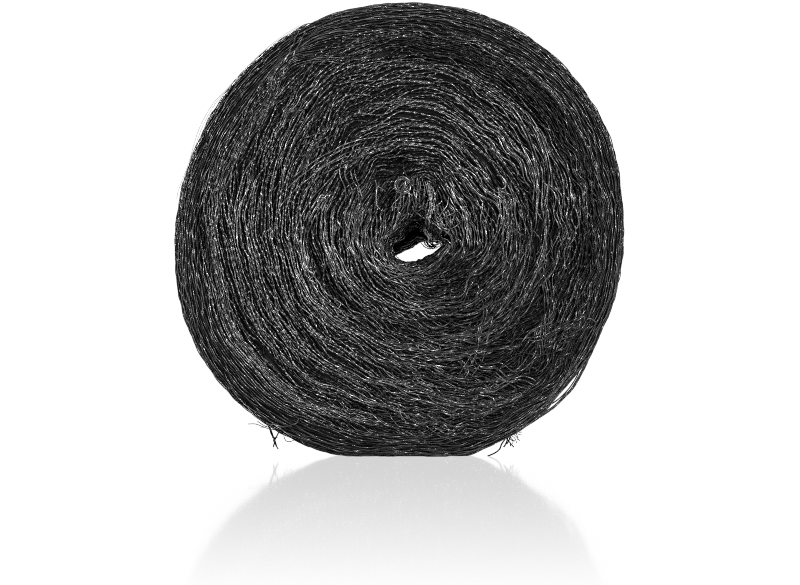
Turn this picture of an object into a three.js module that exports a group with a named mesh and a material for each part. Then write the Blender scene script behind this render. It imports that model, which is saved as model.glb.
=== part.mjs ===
// Pond netting: a long black net, gathered into a soft strip and wound on itself into a thick roll.
// The roll stands on its edge. Its axis runs along Y, one end face looks along -Y, and the origin is on
// the floor under the middle of the roll. Millimetres, +Z up.
import * as THREE from "three";
import { mergeVertices } from "three/addons/utils/BufferGeometryUtils.js";

const { degToRad, euclideanModulo, lerp, smoothstep } = THREE.MathUtils;

// Driving dimensions of the wound form
const ROLL_DEPTH = 92; // over the shoulders; the crowned faces stand out past it
const MEAN_RADIUS = 144.3;
const AXIS_HEIGHT = 141.8; // floor to the middle of the roll, less than the radius: that makes the flat spot
const SHOULDER_RADIUS = 18; // rounding between an end face and the rim
const FACE_CROWN = 3; // how far an end face swells between the hole and the shoulder
// Relief fades in from the hole's wall, by shares of the depth, and out at the rim, by a share of the radius
const FACE_FADE = { startDepth: 0.4, fullDepth: 0.49, rimShare: 0.88 };

// The hole that the innermost turns leave: a crushed passage that slants down from front to back
const HOLE = { x: 10, z: -10, meanRadius: 14, lip: 7 };
const HOLE_SLANT = { x: 2.5, z: -7.5 };
// Reach of each mouth from its middle, every eighth of a turn from +X
const MOUTHS = [
  { deg: 0, front: 18, back: 17 },
  { deg: 45, front: 11, back: 13 },
  { deg: 90, front: 16.5, back: 10 },
  { deg: 135, front: 11.5, back: 10.5 },
  { deg: 180, front: 17.5, back: 16 },
  { deg: 225, front: 14.5, back: 14 },
  { deg: 270, front: 10.5, back: 10 },
  { deg: 315, front: 14.5, back: 13 },
];

// The outline is a little squarer than a circle: waves round the rim, each with its peak at an angle from +X
const OUTLINE_WAVES = [
  { order: 1, swell: 3.1, peakDeg: 290 },
  { order: 2, swell: 2.7, peakDeg: 69 },
  { order: 3, swell: 0.9, peakDeg: 72 },
  { order: 4, swell: 1.4, peakDeg: 37 },
];

// Turns of the gathered strip, seen on an end face as one spiral ridge that grows outwards
const WINDING = { x: 3.8, z: -1.6, pitch: 12.5, ridge: 1.2, wobble: 2.2, wobbles: 3, firstRadius: 45 };

// Folds that run round the rim
const RIM_FOLD = { pitch: 21, depth: 2.6, drift: 9, drifts: 2 };

// Creases between loose turns: arcs about the winding's middle, each with its own width and depth
const CREASES = [
  { startDeg: 165, endDeg: 310, startRadius: 56, endRadius: 64, width: 7, depth: 4.5 },
  { startDeg: 8, endDeg: 108, startRadius: 112, endRadius: 115, width: 9, depth: 5.5 },
  { startDeg: 0, endDeg: 98, startRadius: 121, endRadius: 125, width: 6, depth: 2.5 },
  { startDeg: 145, endDeg: 192, startRadius: 127, endRadius: 128, width: 7, depth: 4 },
  { startDeg: 310, endDeg: 365, startRadius: 114, endRadius: 116, width: 7, depth: 3 },
  { startDeg: 125, endDeg: 242, startRadius: 45, endRadius: 40, width: 6, depth: 2.5 },
  { startDeg: 198, endDeg: 248, startRadius: 115, endRadius: 117, width: 7, depth: 3.5 },
  { startDeg: 248, endDeg: 294, startRadius: 112, endRadius: 123, width: 7, depth: 3 },
  { startDeg: 300, endDeg: 370, startRadius: 88, endRadius: 94, width: 8, depth: 3 },
];
const CREASE_FADE_DEG = 14; // a crease runs out over this much of a turn

// Crumpled innermost turns: lumps that stand out of the face round the hole, and pockets with minus heights
const CORE_LUMPS = [
  { x: 8, z: 19, halfWidth: 13, halfHeight: 17, height: 6 },
  { x: 27, z: 2, halfWidth: 13, halfHeight: 20, height: 4 },
  { x: -5, z: 40, halfWidth: 18, halfHeight: 9, height: -6 },
  { x: 25, z: 27, halfWidth: 8, halfHeight: 14, height: -6 },
  { x: -15, z: 24, halfWidth: 10, halfHeight: 18, height: -3.5 },
];

// Facets: steps round the roll and along its section
const TURN_STEPS = 64;
const FRONT_STEPS = 32;
const BACK_STEPS = 20;
const RIM_STEPS = 6;
const WALL_STEPS = 4;
const SHOULDER_STEPS = 4;
const LIP_STEPS = 2;

// A soft bump of height 1 at distance 0 that runs out at reach
function softBump(distance, reach) {
  const share = Math.min(Math.abs(distance) / reach, 1);
  return (1 + Math.cos(Math.PI * share)) / 2;
}

// How far from the roll's middle the rim lies, before the floor flattens it
function outlineRadius(angle) {
  return OUTLINE_WAVES.reduce(
    (radius, wave) => radius + wave.swell * Math.cos(wave.order * (angle - degToRad(wave.peakDeg))),
    MEAN_RADIUS,
  );
}

// The rim's distance from the middle: folds that drift from side to side, cut off level at the floor
function rimRadius(angle, y) {
  const drift = RIM_FOLD.drift * Math.sin(RIM_FOLD.drifts * angle);
  const fold = Math.cos((2 * Math.PI * (y + drift)) / RIM_FOLD.pitch);
  const free = outlineRadius(angle) - (RIM_FOLD.depth * (1 - fold)) / 2;
  const down = -Math.sin(angle);
  return down > 0 ? Math.min(free, AXIS_HEIGHT / down) : free;
}

// The hole's reach at an angle, eased from one row of the mouths to the next and from front to back
function holeRadius(angle, slant) {
  const row = (euclideanModulo(angle, 2 * Math.PI) / (2 * Math.PI)) * MOUTHS.length;
  const from = MOUTHS[Math.floor(row) % MOUTHS.length];
  const to = MOUTHS[(Math.floor(row) + 1) % MOUTHS.length];
  const share = smoothstep(row % 1, 0, 1);
  return lerp(lerp(from.front, to.front, share), lerp(from.back, to.back, share), slant);
}

// One crease's depth at a place given by its angle and radius about the winding's middle
function creaseDepth(crease, angle, radius) {
  const start = degToRad(crease.startDeg);
  const span = degToRad(crease.endDeg) - start;
  const fade = degToRad(CREASE_FADE_DEG);
  const along = euclideanModulo(angle - start, 2 * Math.PI);
  const middle = lerp(crease.startRadius, crease.endRadius, along / span);
  const ends = smoothstep(along, 0, fade) * (1 - smoothstep(along, span - fade, span));
  return crease.depth * ends * softBump(radius - middle, crease.width);
}

// How far an end face stands out at (x, z), measured from the roll's middle
function faceRelief(x, z) {
  const angle = Math.atan2(z - WINDING.z, x - WINDING.x);
  const radius = Math.hypot(x - WINDING.x, z - WINDING.z);
  const wobble = WINDING.wobble * Math.sin(WINDING.wobbles * angle);
  const turns = (radius + wobble) / WINDING.pitch - angle / (2 * Math.PI);
  const wound = smoothstep(radius, WINDING.firstRadius - WINDING.pitch, WINDING.firstRadius);
  let relief = wound * WINDING.ridge * Math.cos(2 * Math.PI * turns);
  for (const crease of CREASES) relief -= creaseDepth(crease, angle, radius);
  return relief;
}

function lumpRelief(x, z) {
  return CORE_LUMPS.reduce((relief, lump) => {
    const distance = Math.hypot((x - lump.x) / lump.halfWidth, (z - lump.z) / lump.halfHeight);
    return relief + lump.height * softBump(distance, 1);
  }, 0);
}

// The section through one side of the roll as a closed loop of (radius, y), from the front mouth of the hole
// over the front face, the rim and the back face and home along the hole's wall
function sectionProfile() {
  const half = ROLL_DEPTH / 2;
  const points = [];
  const line = (fromRadius, fromY, toRadius, toY, steps) => {
    for (let i = 1; i < steps; i++) {
      const share = i / steps;
      points.push(new THREE.Vector2(lerp(fromRadius, toRadius, share), lerp(fromY, toY, share)));
    }
  };
  const quarter = (radius, y, size, startDeg, steps) => {
    const step = (i) => degToRad(startDeg + (90 * i) / steps);
    for (let i = 0; i <= steps; i++) {
      points.push(new THREE.Vector2(radius + size * Math.cos(step(i)), y + size * Math.sin(step(i))));
    }
  };
  const mouth = HOLE.meanRadius + HOLE.lip;
  const edge = MEAN_RADIUS - SHOULDER_RADIUS;
  quarter(mouth, HOLE.lip - half, HOLE.lip, 180, LIP_STEPS);
  line(mouth, -half, edge, -half, FRONT_STEPS);
  quarter(edge, SHOULDER_RADIUS - half, SHOULDER_RADIUS, 270, SHOULDER_STEPS);
  line(MEAN_RADIUS, SHOULDER_RADIUS - half, MEAN_RADIUS, half - SHOULDER_RADIUS, RIM_STEPS);
  quarter(edge, half - SHOULDER_RADIUS, SHOULDER_RADIUS, 0, SHOULDER_STEPS);
  line(edge, half, mouth, half, BACK_STEPS);
  quarter(mouth, half - HOLE.lip, HOLE.lip, 90, LIP_STEPS);
  line(HOLE.meanRadius, half - HOLE.lip, HOLE.meanRadius, HOLE.lip - half, WALL_STEPS);
  points.push(points[0].clone());
  return points;
}

// Moves a point of the plain ring to its place on the wound roll
function shapePoint(point) {
  const angle = Math.atan2(point.z, point.x);
  const depthShare = point.y / ROLL_DEPTH; // -0.5 on the front face, 0.5 on the back one
  const share = (Math.hypot(point.x, point.z) - HOLE.meanRadius) / (MEAN_RADIUS - HOLE.meanRadius);
  const slant = depthShare + 0.5;
  const inner = holeRadius(angle, slant);
  const outer = rimRadius(angle, point.y);
  const innerX = HOLE.x + HOLE_SLANT.x * slant + inner * Math.cos(angle);
  const innerZ = HOLE.z + HOLE_SLANT.z * slant + inner * Math.sin(angle);
  const x = lerp(innerX, outer * Math.cos(angle), share);
  const z = lerp(innerZ, outer * Math.sin(angle), share);

  const offWall = smoothstep(Math.abs(depthShare), FACE_FADE.startDepth, FACE_FADE.fullDepth);
  const offRim = 1 - smoothstep(share, FACE_FADE.rimShare, 1);
  const crown = FACE_CROWN * Math.sin(Math.PI * share);
  const front = depthShare < 0;
  const relief = front ? faceRelief(x, z) + lumpRelief(x, z) : faceRelief(-x, z);
  const standOut = offWall * offRim * (crown + relief);
  point.set(x, point.y + (front ? -standOut : standOut), z + AXIS_HEIGHT);
}

function woundRoll() {
  const ring = new THREE.LatheGeometry(sectionProfile(), TURN_STEPS);
  ring.deleteAttribute("normal");
  ring.deleteAttribute("uv");
  const geometry = mergeVertices(ring);
  const places = geometry.getAttribute("position");
  const point = new THREE.Vector3();
  for (let i = 0; i < places.count; i++) {
    shapePoint(point.fromBufferAttribute(places, i));
    places.setXYZ(i, point.x, point.y, point.z);
  }
  geometry.computeBoundingBox();
  const middle = geometry.boundingBox.getCenter(new THREE.Vector3());
  geometry.translate(-middle.x, -middle.y, -geometry.boundingBox.min.z);
  geometry.computeVertexNormals();
  return geometry;
}

const netMaterial = new THREE.MeshStandardMaterial({ color: 0x17181a, roughness: 0.55, metalness: 0 });

const netRoll = new THREE.Mesh(woundRoll(), netMaterial);
netRoll.name = "net_roll";

const pondNetting = new THREE.Group();
pondNetting.name = "pond_netting_roll";
pondNetting.add(netRoll);

export default pondNetting;
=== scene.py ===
import math

import bpy
import numpy as np
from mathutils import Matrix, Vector
from mathutils.bvhtree import BVHTree


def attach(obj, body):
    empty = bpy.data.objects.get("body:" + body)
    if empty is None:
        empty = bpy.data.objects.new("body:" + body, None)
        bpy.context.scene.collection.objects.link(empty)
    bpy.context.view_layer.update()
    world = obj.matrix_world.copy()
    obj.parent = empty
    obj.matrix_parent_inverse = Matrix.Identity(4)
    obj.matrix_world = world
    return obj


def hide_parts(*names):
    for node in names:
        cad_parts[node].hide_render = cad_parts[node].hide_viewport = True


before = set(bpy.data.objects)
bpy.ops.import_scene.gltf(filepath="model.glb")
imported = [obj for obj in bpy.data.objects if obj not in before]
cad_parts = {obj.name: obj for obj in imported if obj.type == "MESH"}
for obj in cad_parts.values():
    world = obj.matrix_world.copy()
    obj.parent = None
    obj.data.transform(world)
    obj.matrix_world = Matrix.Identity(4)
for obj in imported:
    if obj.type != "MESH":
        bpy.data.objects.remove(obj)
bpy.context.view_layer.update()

# Pond netting: a long black net gathered into a strip and wound into a roll that stands on its edge.
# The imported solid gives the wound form. Here its skin gets the finer bundles of the gathered net and the
# strands themselves, which run round the roll. Metres; the front face looks along -Y.

MM = 0.001
DEG = math.radians(1)
NODE = "net_roll"
SEED = 20417

# The photograph, 800 by 585: its scale, the pixels of the roll's middle and the floor, and its level camera
IMAGE_WIDTH = 800
PIXEL = 0.63 * MM
MIDDLE_PIXEL, FLOOR_PIXEL = 399, 456
CAMERA_SIDE, CAMERA_DISTANCE, CAMERA_HEIGHT = 0.6 * MM, 2.6, 0.1025
SENSOR = 36.0  # mm
PIXEL_FILTER = 1.0  # pixels

# Studio: lamps, a dim room, a backdrop behind the roll, and a floor with a mirror image that fades
LAMP_AIM = (0, 0, 0.14)
LAMPS = (  # name, place, size, power
    ("key", (0.9, -1.8, 0.9), (0.6, 0.6), 78),
    ("fill", (-1.1, -1.7, 0.3), (0.5, 0.8), 63),
    ("top", (0, 0.3, 2.0), (1.6, 1.2), 24),
    ("back", (-0.8, 1.9, 0.9), (0.6, 0.6), 30),
)
WHITE = (1, 1, 1, 1)
BACKDROP_EDGE = (0.975, 0.995)  # Y of the directions where it starts
ROOM_LIGHT = 0.045
FLOOR_REACH = 6.0
MIRROR_SHARE, MIRROR_FADE, MIRROR_ROUGHNESS = 0.35, 1.2, 0.05

# The roll's hole: a line along Y that stays inside it
HOLE_AXIS_X, HOLE_AXIS_Z = 11 * MM, 128 * MM

# Grid read from the solid's skin: cells in a turn round the roll, and cells in a trip round its section
TURN_CELLS, SECTION_CELLS = 720, 480
GRID = (TURN_CELLS, SECTION_CELLS)
ANGLES = 2 * np.pi * np.arange(TURN_CELLS)[:, None] / TURN_CELLS
PLACES = 2 * np.arange(SECTION_CELLS)[None] / SECTION_CELLS  # 0 in the hole, front, 1 on the rim, back
SKIN_SMOOTH = (3.0, 2.0)  # cells
WINDING_SLOPE = 0.018  # columns climbed for each row along a turn of the winding
RIM_START, SHOULDER_BLEND = 0.73, 0.08
HOLE_END, HOLE_BLEND = 0.16, 0.08

# Bundles of the gathered net: ridges along the turns, as (length, width) in cells and height
BROAD_BUNDLE, BROAD_HEIGHT = (22, 4.0), 0.8 * MM
FINE_BUNDLE, FINE_HEIGHT = (10, 1.7), 0.7 * MM
BUNDLE_EDGE = 0.45
BUNDLE_TOP = 1.6 * MM
RIM_BUNDLES = 0.25
STANDING_BLEND = 6 * MM

# The body under the strands, painted near black as the shade between them: cells in one of its faces, how far
# it lies below them, and its fibres
BODY_STEP = (4, 3)
FACE_INSET, RIM_INSET, HOLE_INSET = 3.5 * MM, 1.1 * MM, 0.4 * MM
BODY_FLOOR = 0.2 * MM
BODY_FIBRES = (60, 300)  # along a turn, and in a trip round the section
BODY_DARK, BODY_LIGHT = (0.42, (0.0004, 0.0004, 0.0004, 1)), (0.72, (0.003, 0.003, 0.0031, 1))
BODY_DETAIL, BODY_DETAIL_SHARE = 3, 0.6
BODY_ROUGHNESS, BODY_GLOSS = 0.5, 0.05
BODY_BUMP, BODY_BUMP_HEIGHT = 0.8, 1.0 * MM

# Painted light and shade: strands on crests are lighter, in valleys and creases darker. Heights over the
# skin's mean level, taken over cells around
LEVEL_CELLS = (12, 8)
VALLEY, CREST = -1.6 * MM, 0.9 * MM
VALLEY_PAINTED_SHADE = 0.7
CREASE_CELLS = (36, 20)
CREASE, CREASE_EDGE = -2.6 * MM, -0.4 * MM
CREASE_PAINTED_SHADE = 0.85
CREASE_FILL = 0.45

# Painted sheen of the strands round the face, more at the left and along one diagonal, and painted shade near
# the hole
SHEEN_SIDE, SHEEN_SIDE_ANGLE = 0.30, 190 * DEG
SHEEN_DIAGONAL, SHEEN_DIAGONAL_ANGLE = 0.27, 45 * DEG
SHEEN_RIM, SHEEN_RIM_ANGLE, SHEEN_RIM_SPREAD = 0.4, 138 * DEG, 40 * DEG
SHEEN_RIM_SHARE = -0.35  # of the face's sheen: the rim has a little less where the face has more
INNER_SHADE, INNER_PLACE, INNER_SPREAD = 0.2, 0.25, 0.1

# Ovals of the front face with more painted sheen or more painted shade: pixel, reach across and up in pixels,
# share added
SHEEN_PATCHES = (
    (452, 150, 48, 36, 0.7),
    (482, 219, 48, 50, -0.17),
    (395, 95, 80, 65, 0.28),
    (400, 370, 100, 65, -0.16),
    (532, 131, 22, 26, -0.45),
    (549, 166, 18, 30, -0.38),
    (367, 223, 18, 36, -0.4),
    (452, 398, 45, 24, -0.25),
    (518, 258, 20, 34, -0.25),
    (491, 312, 24, 20, -0.25),
    (472, 362, 12, 12, -0.3),
    (364, 154, 26, 18, 0.3),
)

# The turns aren't round the roll's middle: paths are pushed aside and drawn out, in shares of their radius
TURN_PUSH, TURN_PUSH_ANGLE = 0.222, 26 * DEG
TURN_STRETCH, TURN_STRETCH_ANGLE = 0.068, 135 * DEG
TURN_BEND, TURN_BEND_ANGLE = 0.023, 90 * DEG
TURN_DENT, TURN_DENT_ANGLE, TURN_DENT_SPREAD = 0.09, 320 * DEG, 26 * DEG
FLOW_OUT = 5 * DEG  # crossing strands run a little outwards too

# Disordered stretches round the face, where most crossing strands lie: angle, spread and size
DISORDER = (
    (303 * DEG, 46 * DEG, 2.6),
    (120 * DEG, 28 * DEG, 1.4),
    (8 * DEG, 28 * DEG, 0.8),
)

# Strands with few flecks: most of them lie at the lower right
CALM_ANGLE, CALM_SPREAD = 312 * DEG, 62 * DEG
CALM_START, CALM_BLEND = 0.28, 0.2
CALM_FLECKS = 0.3
CALM_PLY_LENGTH = 8 * MM

# Lanes of strands
LANE_STEPS = 180  # that measure a turn
LANE_SPARE = (0.06, 0.16)  # outside both ends of the reach, where lanes are pushed
LANE_EDGE = 0.02  # where strands dive
GOLDEN_SHARE = 0.618  # picks lanes evenly where there is less room

# Closed meshes, and how lanes drift and each sheet of them swirls and curls: patches in cells, and leans
MESH_SWING = (0.1, 0.3)  # least and more, in shares of the pitch
MESH_LENGTH = 20 * MM
SWING_CELLS = (30, 6)
PHASE_CELLS, PHASE_SHIFT = (40, 8), 0.35
DRIFT_CELLS = (45, 6)
SWIRL_LEAN, SWIRL_CELLS = 8 * DEG, (10, 12)
SWIRL_AT_RIM = 0.15
CURL_LEAN, CURL_CELLS = 16 * DEG, (4.0, 3.6)
SHEET_RISE, SHEET_EDGE = 0.7 * MM, 2
KINK_SIZE, KINK_LENGTH = 0.14 * MM, (6 * MM, 13 * MM)
WANDER_SIZE, WANDER_LENGTH = 0.12 * MM, (22 * MM, 60 * MM)

# Locks of crossing strands: how far their headings may lean, their waves, and how loose they are
LOCK_TRIES = 40
LOCK_LEAN = 60 * DEG
LOCK_WAVE, LOCK_WAVE_LENGTH = 17 * DEG, (14 * MM, 34 * MM)
LOCK_RISE = (-0.3 * MM, 0.9 * MM)
LOCK_LOOSE = 0.25  # of their pitch
LOCK_STAGGER = 24 * MM
LOCK_FRAY = 2.5 * DEG

# One strand of the net: a flat twisted yarn that goes up and down between the others, with ends that dive,
# and painted shade where it lies low in its weave
STRAND_SIDES = 4
STRAND_FLAT = 0.9
WIDTH_SPREAD = (0.8, 1.15)
WEAVE_HEIGHT, WEAVE_LENGTH, WEAVE_SHADE = 0.4 * MM, (14 * MM, 36 * MM), 0.35
END_DIVE, END_RINGS = 2.6 * MM, 4
FLECKS = (0.3, 1.6)  # a strand's tone changes by these shares from ring to ring

# The yarn's look: glosses of its lit and shaded copies, picked by the strands' tone and painted light, how
# flecked it is, its plies and fibres
YARN_MAP = "Yarn"
YARN_GLOSS = (0.1, 0.42, 0.9)
YARN_FLECKS = (("flecked", 1.0), ("calm", 0.3))
# Colours of the yarn's tone, with painted shade in the plies' grooves and painted glints from the fibres
YARN_DARK, YARN_LIGHT = (0, (0.002, 0.002, 0.0022, 1)), (1, (0.055, 0.055, 0.057, 1))
YARN_ROUGHNESS = (0.34, 0.12)  # between flecks and on them
PLY_LENGTH = 3.6 * MM
PLY_SPREAD = (0.75, 1.3)
PLY_SLANT = 2.0  # plies passed on the way round a strand
PLY_WAVE = 2 * math.pi / 10  # scale at which the wave texture has one band for each ply
PLY_BUMP, PLY_FLECK_BUMP, PLY_HEIGHT = 0.4, 0.4, 0.3 * MM
FIBRE_SIZE = 1.0 * MM
FIBRE_GLINT, FIBRE_CALM = (0.38, 0.62), 0.8
FIBRE_BUMP, FIBRE_HEIGHT = 0.8, 0.5 * MM

# A map for baking, in widths of a face: how long one is, and gaps round strips and end faces
BAKE_MAP = "OFBake"
BAKE_STRETCH = 2.5
BAKE_GAP, BAKE_END_GAP = 1, 0.25
BAKE_END_PLACES = (0, 2)
FACE_CORNERS = np.array([[0, 0], [0, 1], [1, 1], [1, 0]])

# Pockets round the core, sunk and given painted shade: pixel, reach across and up in pixels, depth in mm
POCKETS = (
    (400, 168, 13, 5, 3.0),
    (382, 181, 9, 8, 2.4),
    (387, 203, 7, 11, 2.0),
    (426, 173, 7, 4, 2.4),
    (440, 197, 4, 8, 4.0),
    (440, 162, 4, 5, 2.0),
    (404, 206, 6, 8, 2.0),
    (452, 266, 9, 5, 2.0),
    (493, 187, 4, 5, 3.0),
)
POCKET_PAINTED_SHADE = 0.12

# The crumpled inner turns above and to the right of the hole: ovals where strands run every way
TANGLES = (
    (412, 207, 16, 20),
    (447, 224, 18, 24),
)
TANGLE_REACH = 0.9  # of an oval's reach, where strands start
TANGLE_LENGTH, TANGLE_MOVES = (14, 30), 5  # pixels, and the straight moves that they are split into
TANGLE_BEND = 0.28  # radians for each move
TANGLE_DROP = 2.4 * MM
# Painted shade on the strands inside the ovals
TANGLE_PAINTED_SHADE = 0.25

# The hole's outline in the photograph. The lower wall keeps it, and the upper wall only at the back
HOLE_OUTLINE = (
    (396, 255), (401, 253.5), (405, 252.5), (410, 250.5), (414, 248.5), (418, 245.5), (421, 243.5),
    (430, 242.5), (438, 242.5), (446, 243), (443, 246.5), (438, 250), (430, 255), (425, 257), (420, 259),
    (415, 261), (410, 262), (405, 262), (400, 261), (396, 259), (394, 258),
)
HOLE_PIXEL = (416.5, 253)
LOWER_WALL, LOWER_WALL_BLEND = 0.14, 0.16
UPPER_WALL, UPPER_WALL_REACH, UPPER_WALL_BLEND, UPPER_WALL_EDGE = 1.88, 0.06, 0.12, 2
WALL_MOVE = 10 * MM
WALL_STRANDS = 0.5 * MM

# A dent in the rim under the net's loose edge strands: angle, place on the section, their spreads, and depth
RIM_DENT = (314 * DEG, 1.0, 22 * DEG, 0.22, 3.4 * MM)

# Creases between the turns: routes over pixels, width in pixels, and share of the depth and painted shade
# below
CREASE_LINES = (
    (((385, 57), (430, 54), (480, 63), (520, 85), (550, 115), (565, 135), (580, 160), (587, 200), (588, 290)),
     4.0, 1),
    (((360, 34), (400, 28), (440, 30), (475, 38), (510, 54)), 2.5, 1),
    (((508, 72), (540, 95), (570, 132), (590, 175), (598, 235)), 3.0, 1),
    (((308, 225), (316, 258), (330, 285), (352, 305), (380, 318), (420, 323), (455, 321)), 3.0, 1),
    (((206, 140), (201, 170), (200, 200), (203, 228), (212, 262), (220, 292)), 3.0, 1),
    (((300, 310), (306, 328), (316, 346)), 2.5, 1),
    (((256, 342), (272, 358), (290, 370), (314, 379)), 1.6, 1),
    (((352, 160), (358, 182), (356, 206), (360, 232), (370, 256)), 2.5, 0.5),
    (((455, 350), (490, 345), (520, 332), (545, 308), (560, 280)), 3.0, 1),
    (((330, 420), (380, 428), (430, 425), (470, 415)), 2.5, 1),
    (((400, 49), (445, 53), (480, 66), (515, 88), (545, 118), (562, 145), (576, 180)), 10.0, 0.6),
)
CREASE_POINTS = 80
CREASE_LINE_DEPTH = 1.8 * MM
CREASE_LINE_PAINTED_SHADE = 0.5

# Guides that strands round the hole lie between, as routes over pixels: tongue, rope, turns, wall and lip
TONGUE = (
    ((404, 183), (398, 196), (394, 210), (392, 224), (390, 238)),
    ((408, 182), (404, 196), (401, 209), (398, 220), (394, 231)),
    ((412, 181), (411, 194), (409, 205), (407, 213), (402, 224)),
    ((417, 180), (417, 192), (417, 203), (416, 210), (411, 219)),
    ((422, 181), (424, 192), (424, 202), (423, 208), (419, 215)),
)
ROPE = (
    ((424, 184), (428, 195), (428, 208), (425, 222), (426, 241)),
    ((430, 187), (433, 199), (431, 212), (428, 224), (429, 240)),
)
HANGING_TURNS = (
    ((423, 226), (423, 236), (424, 242), (428, 247), (434, 248.5)),
    ((432, 226), (431, 236), (431, 241), (434, 245), (439, 245)),
    ((441, 224), (440, 233), (440, 238), (442, 241), (446, 241)),
)
INNER_WALL = (
    ((412, 219), (403, 226), (396, 233), (390, 240)),
    ((424, 214), (417, 222), (410, 228), (400, 236)),
)
RIGHT_TURNS = (
    ((429, 196), (431, 210), (433, 221), (438, 231), (445, 239), (450, 249)),
    ((439, 186), (446, 199), (453, 211), (459, 222), (463, 233), (465, 246)),
    ((452, 178), (461, 193), (469, 207), (475, 221), (478, 236), (478, 250)),
)
LOWER_LIP = (
    ((391, 249), (393, 258), (399, 263), (406, 266), (413, 267), (421, 264), (430, 258), (438, 252),
     (446, 243)),
    ((385, 250), (388, 263), (396, 271), (405, 275), (414, 276), (424, 273), (434, 267), (443, 258),
     (451, 248)),
)

# Single strands: the crown of the tongue, the tangle to its right, and curls and ends over the face
DEPTH_POINTS = 5  # of a strand, over which the depth under it is evened out
CURL_MIDDLE, CURL_RADII = (403, 188), (5.6, 7, 8.4)
CURL_TURN, CURL_POINTS = (0.2, 6.0), 9  # radians from end to end
CROWN = (
    ((411, 180), (413, 186), (415, 194)),
    ((399, 192), (403, 186), (408, 182)),
    ((392, 213), (394, 206), (400, 199), (409, 194)),
    ((409, 195), (409, 204), (407, 216)),
    ((397, 209), (398, 213), (401, 217)),
    ((412, 209), (415, 214), (421, 219)),
    ((375, 183), (378, 190), (376, 199), (377, 206), (381, 212)),
    ((377, 187), (381, 191), (386, 194)),
)
RIGHT_TANGLE = (
    ((433, 213), (436, 208), (441, 203)),
    ((438, 204), (437, 211), (434, 217)),
    ((448, 199), (446, 207), (442, 214), (438, 219)),
    ((450, 189), (455, 203), (461, 211), (465, 219), (467, 230), (470, 241)),
    ((452, 194), (457, 206), (463, 214), (466, 224), (468, 236)),
    ((443, 219), (447, 227), (452, 235), (458, 242)),
    ((431, 223), (436, 228), (441, 232)),
    ((430, 235), (435, 239), (443, 240), (450, 245)),
    ((427, 241), (433, 241), (440, 242), (447, 246), (449, 251)),
    ((453, 216), (452, 226), (456, 236), (455, 244)),
    ((460, 224), (454, 229), (447, 231), (440, 229)),
    ((446, 212), (450, 220), (449, 230), (444, 238)),
    ((436, 219), (441, 225), (440, 234), (433, 239)),
    ((462, 219), (461, 230), (463, 240), (460, 250)),
    ((457, 212), (449, 217), (441, 221), (434, 226)),
)
HOLE_STRANDS = (
    ((421, 243), (426, 248), (434, 249), (445, 244)),
    ((391, 248), (396, 256), (401, 261)),
)
BRIGHT_HOOK = (
    ((495, 178), (500, 180), (503.5, 184), (503, 189), (499, 192), (495, 191)),
)
FACE_CURLS = (
    ((311, 272), (315, 276), (312, 281), (317, 285)),
    ((338, 301), (342, 305), (339, 309), (344, 313)),
    ((268, 422), (277, 424), (288, 425), (297, 422), (301, 417)),
    ((584, 320), (588, 319), (593, 322)),
    ((487, 394), (492, 398), (494, 404)),
)

# Frayed ends at the rim, the net's edge strands that bow off it, and hairs along the upper left edge
KNOT_ENDS = (
    ((266, 421), (270, 428), (272, 434), (275.5, 440), (276, 444), (279, 449)),
    ((282, 427), (279, 433), (277, 437), (275.5, 440), (275, 443), (274, 447)),
    ((273, 437), (275.5, 439), (275, 441), (276, 443)),
    ((278, 437), (275, 438), (274.5, 441), (276.5, 442)),
    ((269, 424), (272, 431), (274.5, 438), (276, 442), (277.5, 447)),
)
FRAY_ENDS = (
    ((508, 430), (505, 438), (501, 444), (499, 449), (494, 453), (487, 456)),
    ((498, 428), (503, 435), (508, 441), (513, 447)),
    ((499, 430), (504, 437), (509, 442), (510, 446)),
    ((506, 430), (507, 438), (505, 444), (503, 447)),
    ((502, 428), (507, 436), (511, 440), (514, 441)),
    ((509, 428), (510, 435), (508, 441), (506, 444)),
)
EDGE_STRANDS = (
    ((498, 438), (508, 436), (515, 432), (528, 424.5), (538, 418), (550, 410), (556, 405), (565, 396),
     (570, 391), (575, 384), (581, 373), (586, 363), (589, 353)),
    ((505, 434), (514, 430.5), (527.5, 423), (537.5, 417), (549, 409), (555, 404.5), (564, 395), (569, 390.5),
     (574, 383), (580, 372), (585, 362), (587, 353)),
    ((542, 405), (548, 405), (553, 402.5), (559, 398), (566, 391), (571, 384.5), (576, 376), (579, 367),
     (580, 358)),
)
FINE_ENDS = (
    ((276, 430), (270, 429), (262, 426), (256, 424), (249, 424)),
    ((274, 427), (268, 427), (262, 424), (258, 421)),
    ((270, 423), (266, 427), (261, 427)),
    ((284, 433), (285, 438), (287, 441), (291, 441.5), (297, 439)),
    ((505, 428), (511, 433), (515, 436), (519, 441)),
    ((506, 426), (512, 431), (517, 434), (521, 435)),
    ((504, 429), (510, 435), (514, 438), (516, 443)),
    ((507, 426), (513, 429), (518, 432), (521, 432)),
    ((503, 430), (509, 436), (512, 440), (512, 444)),
    ((508, 427), (514, 432), (517, 437), (517, 440)),
)
EDGE_HAIRS = (
    ((178, 200), (180, 191), (190, 164), (200, 131), (213, 107), (224, 95), (243, 74)),
    ((182, 193), (191, 166), (202, 132), (214, 109), (226, 94), (245, 73)),
    ((234, 84), (243, 74), (260, 57), (274, 45), (288, 35), (300, 28)),
    ((248, 71), (261, 58), (276, 45), (289, 36), (304, 27)),
)
EDGE_BITS = (
    ((289, 43), (293, 36), (300, 30), (307, 26.5), (316, 26)),
    ((300, 35), (309, 27.5), (318, 23.5), (329, 19.5), (337, 19)),
    ((338, 18), (344, 13.5), (352, 11.5), (360, 11), (366, 12)),
    ((369, 12), (375, 8.5), (383, 6.5), (393, 6), (400, 8)),
)
UPPER_STRANDS = (
    ((300, 36), (296, 45), (292, 55), (286, 67)),
    ((307, 37), (301, 48), (295, 61)),
)
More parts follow.
